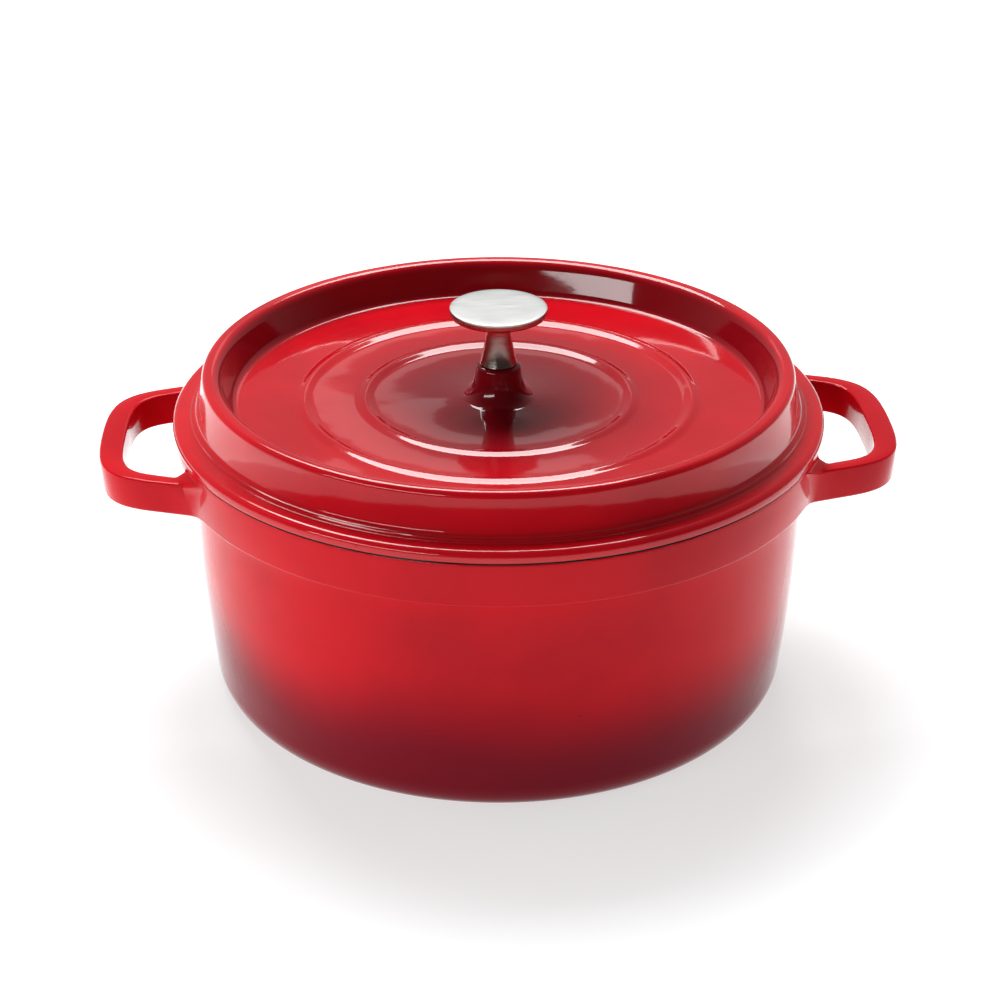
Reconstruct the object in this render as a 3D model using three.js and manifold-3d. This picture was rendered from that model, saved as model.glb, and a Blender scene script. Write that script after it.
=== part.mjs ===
// Round cast iron dutch oven: a pot with two loop handles, a lift-off lid with a raised rim,
// and a steel knob held to the lid by a screw from below.
// Millimetres, +Z up. The origin is on the floor under the pot's centre. The handles lie along X.

import * as THREE from 'three';
import { ConvexGeometry } from 'three/addons/geometries/ConvexGeometry.js';
import { mergeVertices } from 'three/addons/utils/BufferGeometryUtils.js';
import Module from 'manifold-3d';

// ---- Pot ----
const POT_HEIGHT = 117.5;
const WALL_TOP_RADIUS = 127;
const WALL_BASE_RADIUS = 122.5;
const WALL_BULGE = 2.4;
const WALL_THICKNESS = 3.8;
const POT_FLOOR_THICKNESS = 4.2;
const BASE_CORNER_WIDTH = 9;
const BASE_CORNER_HEIGHT = 13;
const INSIDE_CORNER_RADIUS = 16;
const RIM_OVERHANG = 7.2;
const RIM_BAND_HEIGHT = 18.5;
const RIM_BAND_UNDERCUT = 2;
const RIM_LAND_WIDTH = 5.6;
const RIM_FLARE_HEIGHT = 0.6;

// ---- Handles ----
const HANDLE_REACH = 31.2;
const HANDLE_DROP = 6.3;
const HANDLE_THICKNESS = 14.2;
const HANDLE_ROOT_HALF_WIDTH = 52;
const HANDLE_SHOULDER_HALF_WIDTH = 45.5;
const HANDLE_SHOULDER_REACH = 9;
const HANDLE_ARM_WIDTH = 7.4;
const HANDLE_GRIP_WIDTH = 10.2;
const HANDLE_EDGE = 1.4;
const HANDLE_CORNER = 19;
const GRIP_CORNER = 14;
const HANDLE_FULLNESS = 0.64;
const ROOT_FLARE_WIDTH = 6;
const ROOT_FLARE_REACH = 4.5;
const ROOT_FLARE_DROP = 1.4;

// ---- Lid ----
const LID_OVERHANG = 0.8;
const LID_FLANGE_THICKNESS = 4.7;
const LID_FLANGE_WIDTH = 7.6;
const LID_STEP_HEIGHT = 1.4;
const LID_STEP_WIDTH = 2;
const LID_STEP_SLOPE = 0.5;
const RIM_RISE = 18;
const RIM_TOP_WIDTH = 8;
const RIM_CROWN_HEIGHT = 3.2;
const RIM_LEAN = 2;
const RIM_WALL_THICKNESS = 3.4;
const WELL_RISE = 3;
const WELL_FILLET = 3.5;
const LID_FLOOR_THICKNESS = 3.8;
const OUTER_RING_RADIUS = 84;
const INNER_RING_RADIUS = 58.8;
const RING_WIDTH = 7;
const RING_OUTER_SLOPE = 2.8;
const RING_CREST_WIDTH = 1;
const RING_HEIGHT = 0.9;
const RING_DROP = 0.5;
const SPIGOT_DEPTH = 4;
const SPIGOT_THICKNESS = 4;
const SPIGOT_CLEARANCE = 1.1;
const BOSS_HEIGHT = 17.2;
const BOSS_TOP_RADIUS = 9.1;
const BOSS_FOOT_RADIUS = 15.5;
const BOSS_FLARE = 1.2;

// ---- Knob and its fixings ----
const KNOB_RADIUS = 20;
const KNOB_THICKNESS = 3.3;
const KNOB_EDGE = 0.8;
const STEM_HEIGHT = 20;
const STEM_WAIST_RADIUS = 5;
const STEM_FOOT_RADIUS = 7.4;
const STEM_FLARE_HEIGHT = 6;
const STEM_TENON_RADIUS = 3.6;
const STEM_TENON_HEIGHT = 1.2;
const GASKET_RADIUS = 6.7;
const GASKET_THICKNESS = 0.8;
const SCREW_RADIUS = 3;
const SCREW_GRIP = 10;
const SCREW_TIP_ROOM = 2;
const SCREW_CHAMFER = 1;
const SCREW_HEAD_RADIUS = 5.4;
const SCREW_HEAD_HEIGHT = 3.6;
const HEX_KEY_RADIUS = 2.3;
const HEX_KEY_DEPTH = 1.8;
const FLAT_WASHER_RADIUS = 7;
const FLAT_WASHER_THICKNESS = 1.2;
const SPRING_WASHER_RADIUS = 5.6;
const SPRING_WASHER_THICKNESS = 1.4;
const SPRING_WASHER_SLIT_DEG = 14;

// ---- Clearances ----
const SEAT_GAP = 0.3;
const SCREW_CLEARANCE = 0.35;

// ---- Facets ----
const LARGE_ROUND = 60;
const SMALL_ROUND = 24;
const CURVE_STEPS = 4;
const CORNER_STEPS = 4;
const STEM_STEPS = 7;

// Heights and radii that follow from the sizes above.
const lipRadius = WALL_TOP_RADIUS + RIM_OVERHANG;
const potInnerRadius = WALL_TOP_RADIUS - WALL_THICKNESS;
const rimInnerRadius = lipRadius - RIM_LAND_WIDTH;
const bandBottom = POT_HEIGHT - RIM_BAND_HEIGHT;
const wallTop = bandBottom - RIM_BAND_UNDERCUT;
const handleTop = POT_HEIGHT - HANDLE_DROP;
const handleBottom = handleTop - HANDLE_THICKNESS;
const lidRadius = lipRadius + LID_OVERHANG;
const lidSeat = POT_HEIGHT + SEAT_GAP;
const flangeTop = lidSeat + LID_FLANGE_THICKNESS;
const wellFloor = flangeTop + WELL_RISE;
const lidUnderside = wellFloor - LID_FLOOR_THICKNESS;
const bossTop = flangeTop + BOSS_HEIGHT;
const stemBottom = bossTop + SEAT_GAP + GASKET_THICKNESS + SEAT_GAP;
const stemTop = stemBottom + STEM_HEIGHT;
const knobBottom = stemTop + SEAT_GAP;
const rootReach = Math.sqrt(lipRadius ** 2 - HANDLE_ROOT_HALF_WIDTH ** 2);
const shoulderReach = lipRadius + HANDLE_SHOULDER_REACH;
const screwHoleRadius = SCREW_RADIUS + SCREW_CLEARANCE;
const flatWasherTop = lidUnderside - SEAT_GAP;
const springWasherTop = flatWasherTop - FLAT_WASHER_THICKNESS - SEAT_GAP;
const screwHeadTop = springWasherTop - SPRING_WASHER_THICKNESS - SEAT_GAP;

const wasm = await Module();
wasm.setup();

const point = (x, y) => new THREE.Vector2(x, y);
const radians = (degrees) => THREE.MathUtils.degToRad(degrees);

// Points along a quarter or any part of an ellipse, between two angles in degrees.
function ellipse(centreX, centreY, radiusX, radiusY, from, to, steps = CORNER_STEPS) {
  return Array.from({ length: steps + 1 }, (_, i) => {
    const angle = radians(from + ((to - from) * i) / steps);
    return point(centreX + radiusX * Math.cos(angle), centreY + radiusY * Math.sin(angle));
  });
}

// Points along a curve pulled towards one control point.
function bend(from, control, to, steps = CURVE_STEPS) {
  return new THREE.QuadraticBezierCurve(from, control, to).getPoints(steps);
}

// A profile without points that repeat their neighbour.
function tidy(profile) {
  const apart = (a, b) => a.distanceTo(b) > 1e-4;
  return profile.filter((p, i) => i === 0 || apart(p, profile[i - 1]));
}

// Turns an outline of (radius, height) points around Z. The outline runs anticlockwise.
function turned(profile, segments) {
  const geometry = new THREE.LatheGeometry(tidy(profile), segments);
  return geometry.rotateX(Math.PI / 2);
}

// Keeps only positions, with shared corners merged, as a closed surface needs.
function merged(geometry) {
  const plain = geometry.clone();
  plain.deleteAttribute('normal');
  plain.deleteAttribute('uv');
  return mergeVertices(plain, 1e-4);
}

function toSolid(geometry) {
  const shape = merged(geometry);
  return new wasm.Manifold(new wasm.Mesh({
    numProp: 3,
    vertProperties: new Float32Array(shape.attributes.position.array),
    triVerts: new Uint32Array(shape.index.array),
  }));
}

function fromSolid(solid) {
  const mesh = solid.getMesh();
  const geometry = new THREE.BufferGeometry();
  geometry.setAttribute('position', new THREE.BufferAttribute(mesh.vertProperties, 3));
  geometry.setIndex(new THREE.BufferAttribute(mesh.triVerts, 1));
  geometry.computeVertexNormals();
  return geometry;
}

// Outside of the wall, from the base corner up to the underside of the rim band.
function wallCurve() {
  const foot = point(WALL_BASE_RADIUS, BASE_CORNER_HEIGHT);
  const top = point(WALL_TOP_RADIUS, wallTop);
  const control = point((foot.x + top.x) / 2 + WALL_BULGE, (foot.y + top.y) / 2 - WALL_BULGE);
  return bend(foot, control, top);
}

// The pot without its handles: thick rim band, barrelled wall, rounded base corner.
function potShell() {
  const floorTop = POT_FLOOR_THICKNESS;
  const cornerCentre = WALL_BASE_RADIUS - BASE_CORNER_WIDTH;
  const baseCorner = ellipse(
    cornerCentre, BASE_CORNER_HEIGHT, BASE_CORNER_WIDTH, BASE_CORNER_HEIGHT, -90, 0,
  );
  const innerBase = WALL_BASE_RADIUS - WALL_THICKNESS;
  const innerCorner = ellipse(
    innerBase - INSIDE_CORNER_RADIUS,
    floorTop + INSIDE_CORNER_RADIUS,
    INSIDE_CORNER_RADIUS,
    INSIDE_CORNER_RADIUS,
    0,
    -90,
  );
  const shoulder = lidSeat - SPIGOT_DEPTH - SEAT_GAP;
  return [
    point(0, 0),
    ...baseCorner,
    ...wallCurve(),
    point(lipRadius, bandBottom),
    point(lipRadius, POT_HEIGHT),
    point(rimInnerRadius, POT_HEIGHT),
    point(rimInnerRadius, shoulder),
    point(potInnerRadius, shoulder - RIM_FLARE_HEIGHT),
    point(potInnerRadius, wallTop),
    ...innerCorner,
    point(0, floorTop),
  ];
}

// Half width of the handle's arms at a distance out along X, less an inset for their inner faces.
function armHalfWidth(x, inset) {
  const along = (x - rootReach) / (shoulderReach - rootReach);
  const taper = HANDLE_SHOULDER_HALF_WIDTH - HANDLE_ROOT_HALF_WIDTH;
  return HANDLE_ROOT_HALF_WIDTH - inset + taper * along;
}

// A loop open to the pot: straight arms that close in, full corners, gently bulged end.
function handleLoop(inset, start, tip, cornerReach, path) {
  const shoulder = shoulderReach - inset / 3;
  const shoulderHalf = armHalfWidth(shoulder, inset);
  const cornerX = shoulder + cornerReach;
  const cornerHalf = armHalfWidth(cornerX, inset);
  const endHalf = shoulderHalf * HANDLE_FULLNESS;
  path.moveTo(start, -armHalfWidth(start, inset));
  path.lineTo(shoulder, -shoulderHalf);
  path.bezierCurveTo(cornerX, -cornerHalf, tip, -endHalf, tip, 0);
  path.bezierCurveTo(tip, endHalf, cornerX, cornerHalf, shoulder, shoulderHalf);
  path.lineTo(start, armHalfWidth(start, inset));
  path.closePath();
  return path;
}

// Wedge that fairs an arm into the rim band: high and broad at the lip, nothing at the bottom.
function rootFlare(side) {
  const inner = rootReach - HANDLE_ARM_WIDTH;
  const outer = rootReach + ROOT_FLARE_REACH;
  const bottom = handleBottom + HANDLE_EDGE;
  const spread = HANDLE_ROOT_HALF_WIDTH + ROOT_FLARE_WIDTH;
  const armOutside = (x) => side * armHalfWidth(x, 0);
  const armMiddle = (x) => side * armHalfWidth(x, HANDLE_ARM_WIDTH / 2);
  const corner = (x, y, z) => new THREE.Vector3(x, y, z);
  return new ConvexGeometry([
    corner(inner, armMiddle(inner), POT_HEIGHT - ROOT_FLARE_DROP),
    corner(inner, side * (spread + ROOT_FLARE_WIDTH / 2), POT_HEIGHT - ROOT_FLARE_DROP),
    corner(rootReach + 1, armMiddle(rootReach), POT_HEIGHT - ROOT_FLARE_DROP),
    corner(rootReach + 1, side * (spread - ROOT_FLARE_WIDTH / 2), POT_HEIGHT - ROOT_FLARE_DROP),
    corner(outer, armMiddle(outer), handleTop - HANDLE_EDGE / 2),
    corner(outer, armOutside(outer), handleTop - HANDLE_EDGE),
    corner(inner, armMiddle(inner), bottom),
    corner(inner, armOutside(inner), bottom),
    corner(rootReach, armMiddle(rootReach), bottom),
  ]);
}

// One loop handle on the +X side, trimmed to sit just clear of the rim band.
function handleSolid() {
  const tip = lipRadius + HANDLE_REACH;
  const gripInside = tip - HANDLE_GRIP_WIDTH;
  const outlineStart = rootReach - 2 * HANDLE_ARM_WIDTH;
  const gapStart = rootReach - HANDLE_ARM_WIDTH;
  const outline = handleLoop(0, outlineStart, tip, HANDLE_CORNER, new THREE.Shape());
  outline.holes.push(handleLoop(HANDLE_ARM_WIDTH, gapStart, gripInside, GRIP_CORNER, new THREE.Path()));
  const loop = new THREE.ExtrudeGeometry(outline, {
    depth: HANDLE_THICKNESS - 2 * HANDLE_EDGE,
    bevelThickness: HANDLE_EDGE,
    bevelSize: HANDLE_EDGE,
    bevelOffset: -HANDLE_EDGE,
    bevelSegments: 2,
    curveSegments: 9,
  });
  loop.translate(0, 0, handleBottom + HANDLE_EDGE);
  const reach = turned([
    point(0, handleBottom - 1),
    point(lipRadius + SEAT_GAP, handleBottom - 1),
    point(lipRadius + SEAT_GAP, POT_HEIGHT + 1),
    point(0, POT_HEIGHT + 1),
  ], LARGE_ROUND);
  return toSolid(loop)
    .add(toSolid(rootFlare(1)))
    .add(toSolid(rootFlare(-1)))
    .subtract(toSolid(reach));
}

// One low ridge on the lid's floor: up from the outside, then down to a slightly lower floor.
function ridge(outerRadius, floor) {
  const crest = floor + RING_HEIGHT;
  return [
    point(outerRadius, floor),
    point(outerRadius - RING_OUTER_SLOPE, crest),
    point(outerRadius - RING_OUTER_SLOPE - RING_CREST_WIDTH, crest),
    point(outerRadius - RING_WIDTH, floor - RING_DROP),
  ];
}

// The lid's section, from the screw hole out over the top and back along the underside.
function lidSection() {
  const centreFloor = wellFloor - 2 * RING_DROP;
  const boss = bend(
    point(BOSS_FOOT_RADIUS, centreFloor),
    point(BOSS_TOP_RADIUS + BOSS_FLARE, centreFloor + BOSS_FLARE),
    point(BOSS_TOP_RADIUS, bossTop),
  );
  const stepOuter = lidRadius - LID_FLANGE_WIDTH;
  const stepInner = stepOuter - LID_STEP_WIDTH;
  const stepTop = flangeTop + LID_STEP_HEIGHT;
  const rimTop = flangeTop + RIM_RISE;
  const rimFoot = stepInner - LID_STEP_WIDTH / 2;
  const rimOuter = rimFoot - RIM_LEAN;
  const rimInner = rimOuter - RIM_TOP_WIDTH;
  const crown = ellipse(
    (rimOuter + rimInner) / 2, rimTop - RIM_CROWN_HEIGHT,
    RIM_TOP_WIDTH / 2, RIM_CROWN_HEIGHT, 0, 180, 2 * CORNER_STEPS,
  );
  const wellEdge = rimInner - RIM_LEAN;
  const well = ellipse(
    wellEdge - WELL_FILLET, wellFloor + WELL_FILLET, WELL_FILLET, WELL_FILLET, 0, -90,
  );
  const spigotOuter = rimInnerRadius - SPIGOT_CLEARANCE;
  const spigotInner = spigotOuter - SPIGOT_THICKNESS;
  const hollowTop = rimTop - RIM_WALL_THICKNESS;
  const top = [
    point(lidRadius, lidSeat),
    point(lidRadius, flangeTop),
    point(stepOuter, flangeTop),
    point(stepOuter - LID_STEP_SLOPE, stepTop),
    point(stepInner, stepTop),
    point(rimFoot, stepTop + LID_STEP_HEIGHT),
    ...crown,
    ...well,
    ...ridge(OUTER_RING_RADIUS, wellFloor),
    ...ridge(INNER_RING_RADIUS, wellFloor - RING_DROP),
    ...boss,
    point(screwHoleRadius, bossTop),
  ];
  const underside = [
    point(screwHoleRadius, lidUnderside),
    point(wellEdge + RIM_WALL_THICKNESS, lidUnderside),
    point(rimInner + RIM_WALL_THICKNESS, hollowTop),
    point(rimOuter - RIM_WALL_THICKNESS, hollowTop),
    point(rimFoot - RIM_WALL_THICKNESS, lidUnderside),
    point(spigotInner - SPIGOT_THICKNESS / 4, lidUnderside),
    point(spigotInner, lidSeat - SPIGOT_DEPTH),
    point(spigotOuter, lidSeat - SPIGOT_DEPTH),
    point(spigotOuter, lidSeat),
    point(lidRadius, lidSeat),
  ];
  return [...top, ...underside];
}

// Disc with softened edges and a shallow recess below for the stem's tenon.
function knobHead() {
  const top = knobBottom + KNOB_THICKNESS;
  const recessRadius = STEM_TENON_RADIUS + SEAT_GAP;
  const recessTop = stemTop + STEM_TENON_HEIGHT + SEAT_GAP;
  return turned([
    point(0, recessTop),
    point(recessRadius, recessTop),
    point(recessRadius, knobBottom),
    point(KNOB_RADIUS - 2 * KNOB_EDGE, knobBottom),
    point(KNOB_RADIUS - KNOB_EDGE / 2, knobBottom + KNOB_EDGE),
    point(KNOB_RADIUS, knobBottom + 2 * KNOB_EDGE),
    point(KNOB_RADIUS, top - KNOB_EDGE / 2),
    point(KNOB_RADIUS - KNOB_EDGE / 2, top),
    point(0, top),
  ], SMALL_ROUND * 2);
}

// Waisted stem, bored from below for the screw.
function knobStem() {
  const boreTop = stemBottom + SCREW_GRIP + SCREW_TIP_ROOM;
  const flare = bend(
    point(STEM_FOOT_RADIUS, stemBottom),
    point(STEM_WAIST_RADIUS, stemBottom + STEM_FLARE_HEIGHT),
    point(STEM_WAIST_RADIUS, stemTop),
    STEM_STEPS,
  );
  return turned([
    point(0, boreTop),
    point(screwHoleRadius, boreTop - screwHoleRadius / 2),
    point(screwHoleRadius, stemBottom),
    ...flare,
    point(STEM_TENON_RADIUS, stemTop),
    point(STEM_TENON_RADIUS, stemTop + STEM_TENON_HEIGHT),
    point(0, stemTop + STEM_TENON_HEIGHT),
  ], SMALL_ROUND);
}

// A flat ring between two radii, standing on a height.
function ring(innerRadius, outerRadius, bottom, thickness) {
  const top = bottom + thickness;
  return turned([
    point(innerRadius, bottom),
    point(outerRadius, bottom),
    point(outerRadius, top),
    point(innerRadius, top),
    point(innerRadius, bottom),
  ], SMALL_ROUND);
}

// A split ring: the slit is what makes the washer springy.
function springWasher() {
  const half = radians(SPRING_WASHER_SLIT_DEG / 2);
  const shape = new THREE.Shape();
  shape.absarc(0, 0, SPRING_WASHER_RADIUS, half, 2 * Math.PI - half, false);
  shape.absarc(0, 0, screwHoleRadius, 2 * Math.PI - half, half, true);
  const washer = new THREE.ExtrudeGeometry(shape, {
    depth: SPRING_WASHER_THICKNESS,
    bevelEnabled: false,
    curveSegments: SMALL_ROUND,
  });
  return washer.translate(0, 0, springWasherTop - SPRING_WASHER_THICKNESS);
}

// Plain shank and a low head with a hexagon socket from below.
function knobScrew() {
  const headBottom = screwHeadTop - SCREW_HEAD_HEIGHT;
  const tip = stemBottom + SCREW_GRIP;
  const body = turned([
    point(0, headBottom),
    point(SCREW_HEAD_RADIUS - SCREW_CHAMFER, headBottom),
    point(SCREW_HEAD_RADIUS, headBottom + SCREW_CHAMFER),
    point(SCREW_HEAD_RADIUS, screwHeadTop),
    point(SCREW_RADIUS, screwHeadTop),
    point(SCREW_RADIUS, tip - SCREW_CHAMFER),
    point(SCREW_RADIUS - SCREW_CHAMFER, tip),
    point(0, tip),
  ], SMALL_ROUND);
  const socket = new THREE.CylinderGeometry(HEX_KEY_RADIUS, HEX_KEY_RADIUS, HEX_KEY_DEPTH * 2, 6);
  socket.rotateX(Math.PI / 2);
  socket.translate(0, 0, headBottom);
  return fromSolid(toSolid(body).subtract(toSolid(socket)));
}

// The pot casting, with the rim band cut back to its lip between each handle's arms.
function potBody() {
  const pocketHalf = armHalfWidth(rootReach, HANDLE_ARM_WIDTH);
  const pocketRing = toSolid(turned([
    point(WALL_TOP_RADIUS, wallTop),
    point(lipRadius + 1, wallTop),
    point(lipRadius + 1, handleTop),
    point(WALL_TOP_RADIUS, handleTop),
    point(WALL_TOP_RADIUS, wallTop),
  ], LARGE_ROUND));
  const slot = new THREE.BoxGeometry(3 * lipRadius, 2 * pocketHalf, 3 * RIM_BAND_HEIGHT);
  slot.translate(0, 0, handleTop);
  const pockets = pocketRing.intersect(toSolid(slot));
  return fromSolid(toSolid(turned(potShell(), LARGE_ROUND)).subtract(pockets));
}

const enamel = { color: 0xb3121c, roughness: 0.12, metalness: 0 };
const brushedSteel = { color: 0xc9c8c4, roughness: 0.32, metalness: 1 };
const polishedSteel = { color: 0xb8b0a6, roughness: 0.12, metalness: 1 };
const fixingSteel = { color: 0x9a9a98, roughness: 0.35, metalness: 1 };
const fibre = { color: 0x2a2624, roughness: 0.8, metalness: 0 };

const dutchOven = new THREE.Group();

function addPiece(name, geometry, finish) {
  const mesh = new THREE.Mesh(geometry, new THREE.MeshStandardMaterial(finish));
  mesh.name = name;
  dutchOven.add(mesh);
  return mesh;
}

addPiece('pot_body', potBody(), enamel);
const handle = handleSolid();
addPiece('handle_right', fromSolid(handle), enamel);
addPiece('handle_left', fromSolid(handle), enamel).rotation.z = Math.PI;
addPiece('lid', turned(lidSection(), LARGE_ROUND), enamel);
addPiece('knob_head', knobHead(), brushedSteel);
addPiece('knob_stem', knobStem(), polishedSteel);
addPiece('knob_gasket', ring(screwHoleRadius, GASKET_RADIUS, bossTop + SEAT_GAP, GASKET_THICKNESS), fibre);
addPiece('knob_screw', knobScrew(), fixingSteel);
addPiece(
  'flat_washer',
  ring(screwHoleRadius, FLAT_WASHER_RADIUS, flatWasherTop - FLAT_WASHER_THICKNESS, FLAT_WASHER_THICKNESS),
  fixingSteel,
);
addPiece('spring_washer', springWasher(), fixingSteel);

export default dutchOven;
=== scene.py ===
"""A round cast iron dutch oven in red enamel: loop handles, a lid with a raised rim, a steel knob."""
import math

import bmesh
import bpy
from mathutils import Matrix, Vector


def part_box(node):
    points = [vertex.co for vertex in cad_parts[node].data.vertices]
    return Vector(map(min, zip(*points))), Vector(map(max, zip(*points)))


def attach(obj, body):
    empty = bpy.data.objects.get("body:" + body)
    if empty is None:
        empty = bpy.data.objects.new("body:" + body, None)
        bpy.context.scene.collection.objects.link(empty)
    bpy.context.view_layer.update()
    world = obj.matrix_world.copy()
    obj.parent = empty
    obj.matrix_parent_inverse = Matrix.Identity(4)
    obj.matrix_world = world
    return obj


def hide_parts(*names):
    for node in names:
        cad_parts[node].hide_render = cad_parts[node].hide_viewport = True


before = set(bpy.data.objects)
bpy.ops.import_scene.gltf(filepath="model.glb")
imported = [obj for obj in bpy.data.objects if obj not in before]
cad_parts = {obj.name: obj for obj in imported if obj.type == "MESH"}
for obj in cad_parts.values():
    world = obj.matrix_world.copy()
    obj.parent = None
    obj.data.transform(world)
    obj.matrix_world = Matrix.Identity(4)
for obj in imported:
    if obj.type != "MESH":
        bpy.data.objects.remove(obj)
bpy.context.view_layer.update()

MM = 0.001
NEAR = 0.02 * MM
ROUND = 192            # facets around the castings
SMALL_ROUND = 96       # facets around the knob and its fixings
SHARP = math.radians(30)
GAP = 0.3 * MM                         # clearance between mating pieces

POT_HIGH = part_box("pot_body")[1]
LID_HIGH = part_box("lid")[1]
HANDLE_LOW, HANDLE_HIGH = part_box("handle_right")
HEAD_LOW, HEAD_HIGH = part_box("knob_head")
STEM_LOW, STEM_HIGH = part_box("knob_stem")
GASKET_LOW, GASKET_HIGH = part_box("knob_gasket")
SCREW_LOW, SCREW_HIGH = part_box("knob_screw")
FLAT_LOW, FLAT_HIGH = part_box("flat_washer")
SPRING_LOW, SPRING_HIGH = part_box("spring_washer")

LIP = POT_HIGH.x                       # radius of the pot's rim band
SEAM = POT_HIGH.z                      # top of the pot's rim
BAND_BOTTOM = SEAM - 18.5 * MM
WALL_TOP = BAND_BOTTOM - 2 * MM
WALL_BULGE = 2.4 * MM
WALL_RADIUS = LIP - 7.2 * MM
FOOT_RADIUS = WALL_RADIUS - 4.5 * MM   # wall radius just above the base corner
FOOT_HEIGHT = 13 * MM
FOOT_WIDTH = 9 * MM
WALL_THICKNESS = 3.8 * MM
FLOOR_THICKNESS = 4.2 * MM
INSIDE_CORNER = 16 * MM
RIM_LAND = 5.6 * MM
SHOULDER_FALL = 0.6 * MM               # slope of the step inside the rim

HANDLE_TIP = HANDLE_HIGH.x
HANDLE_BOTTOM = HANDLE_LOW.z
HANDLE_THICKNESS = 14.2 * MM
HANDLE_TOP = HANDLE_BOTTOM + HANDLE_THICKNESS
HANDLE_DRAFT = 0.7 * MM
GRIP_WIDTH = 10.2 * MM
SHOULDER_OUT, SHOULDER_IN = (143.2 * MM, 45.5 * MM), (140.7 * MM, 38.9 * MM)   # ends of the arm
CORNER_OUT, CORNER_IN = (162.2 * MM, 39.2 * MM), (154.7 * MM, 34.2 * MM)       # pulls on the corner
GRIP_PULL_OUT, GRIP_PULL_IN = 29.1 * MM, 24.9 * MM
ROOT_RISE = (1.4 * MM, 3.0 * MM, 4.8 * MM)   # how far the arm's root stands out: bottom, middle, top
ARM_STEPS = 2
GRIP_STEPS = 14
EDGE_ROUND = 1.25 * MM
POCKET_WALL = WALL_RADIUS + 0.5 * MM

LID_RADIUS = LID_HIGH.x
RIM_TOP = LID_HIGH.z
LID_SEAT = SEAM + GAP
SPIGOT_DEPTH = 4 * MM
SPIGOT_BOTTOM = LID_SEAT - SPIGOT_DEPTH
FLANGE_TOP = LID_SEAT + 4.7 * MM
WELL_FLOOR = FLANGE_TOP + 3 * MM
LID_UNDERSIDE = WELL_FLOOR - 3.8 * MM
BOSS_TOP = FLANGE_TOP + 17.2 * MM
SCREW_HOLE = 3.35 * MM


# ---------------------------------------------------------------- modelling steps

def start_edit(piece):
    bpy.ops.object.select_all(action="DESELECT")
    piece.select_set(True)
    bpy.context.view_layer.objects.active = piece
    bpy.ops.object.mode_set(mode="EDIT")


def end_edit():
    bpy.ops.object.mode_set(mode="OBJECT")


def pick(piece, kind, wanted):
    """Selects the vertices, edges or faces of the piece in edit mode that pass a test."""
    bpy.ops.mesh.select_mode(type=kind)
    bpy.ops.mesh.select_all(action="DESELECT")
    shape = bmesh.from_edit_mesh(piece.data)
    parts = {"VERT": shape.verts, "EDGE": shape.edges, "FACE": shape.faces}[kind]
    count = 0
    for part in parts:
        if wanted(part):
            part.select_set(True)
            count += 1
    shape.select_flush_mode()
    bmesh.update_edit_mesh(piece.data, loop_triangles=False, destructive=False)
    return count


def radius_of(point):
    return math.hypot(point.x, point.y)


def on_ring(vert, radius, height):
    return abs(radius_of(vert.co) - radius) < NEAR and abs(vert.co.z - height) < NEAR


def turn(name, section, facets=ROUND):
    """Turns a piece: a circle extruded ring by ring along a section of (radius, height)."""
    bpy.ops.object.select_all(action="DESELECT")
    radius, height = section[0]
    bpy.ops.mesh.primitive_circle_add(vertices=facets, radius=radius)
    piece = bpy.context.object
    piece.name = name
    piece.data.name = name
    start_edit(piece)
    bpy.ops.mesh.select_all(action="SELECT")
    bpy.ops.transform.translate(value=(0, 0, height))
    for next_radius, next_height in section[1:]:
        rise = (0, 0, next_height - height)
        bpy.ops.mesh.extrude_edges_move(TRANSFORM_OT_translate={"value": rise})
        grow = next_radius / radius
        bpy.ops.transform.resize(value=(grow, grow, 1), center_override=(0, 0, next_height))
        radius, height = next_radius, next_height
    weld(piece)
    return piece


def weld(piece):
    bpy.ops.mesh.select_all(action="SELECT")
    bpy.ops.mesh.remove_doubles(threshold=NEAR / 4)
    bpy.ops.mesh.select_all(action="SELECT")
    bpy.ops.mesh.normals_make_consistent(inside=False)


def soften(piece, rings, steps=3):
    """Rounds ring edges: each ring is (radius, height, width of the rounding)."""
    for radius, height, width in rings:
        found = pick(piece, "EDGE", lambda e: all(on_ring(v, radius, height) for v in e.verts))
        if not found:
            raise ValueError(f"{piece.name} has no ring at {radius:.5f}, {height:.5f}")
        bpy.ops.mesh.bevel(offset=width, segments=steps, affect="EDGES", clamp_overlap=True)


def close_at_axis(piece, radius, height):
    """Closes a ring with a fan that meets on the axis."""
    pick(piece, "EDGE", lambda e: all(on_ring(v, radius, height) for v in e.verts))
    bpy.ops.mesh.extrude_edges_move(TRANSFORM_OT_translate={"value": (0, 0, 0)})
    bpy.ops.transform.resize(value=(0, 0, 1), center_override=(0, 0, height))
    weld(piece)


def finish_shape(piece, angle=SHARP):
    end_edit()
    bpy.ops.object.select_all(action="DESELECT")
    piece.select_set(True)
    bpy.context.view_layer.objects.active = piece
    bpy.ops.object.shade_smooth_by_angle(angle=angle)


def apply_modifier(piece, kind, **settings):
    bpy.ops.object.select_all(action="DESELECT")
    piece.select_set(True)
    bpy.context.view_layer.objects.active = piece
    modifier = piece.modifiers.new(kind.lower(), kind)
    for key, value in settings.items():
        setattr(modifier, key, value)
    bpy.ops.object.modifier_apply(modifier=modifier.name)


def bow(start, pull, end, steps):
    """Points on a curve from start to end, pulled towards a third point; the start is left out."""
    points = []
    for i in range(1, steps + 1):
        t = i / steps
        a, b, c = (1 - t) ** 2, 2 * t * (1 - t), t ** 2
        points.append((a * start[0] + b * pull[0] + c * end[0], a * start[1] + b * pull[1] + c * end[1]))
    return points


def sweep(start, pull_a, pull_b, end, t):
    """One point on a curve with two pulls."""
    s = 1 - t
    return tuple(
        s ** 3 * p + 3 * s * s * t * q + 3 * s * t * t * r + t ** 3 * u
        for p, q, r, u in zip(start, pull_a, pull_b, end)
    )


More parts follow.
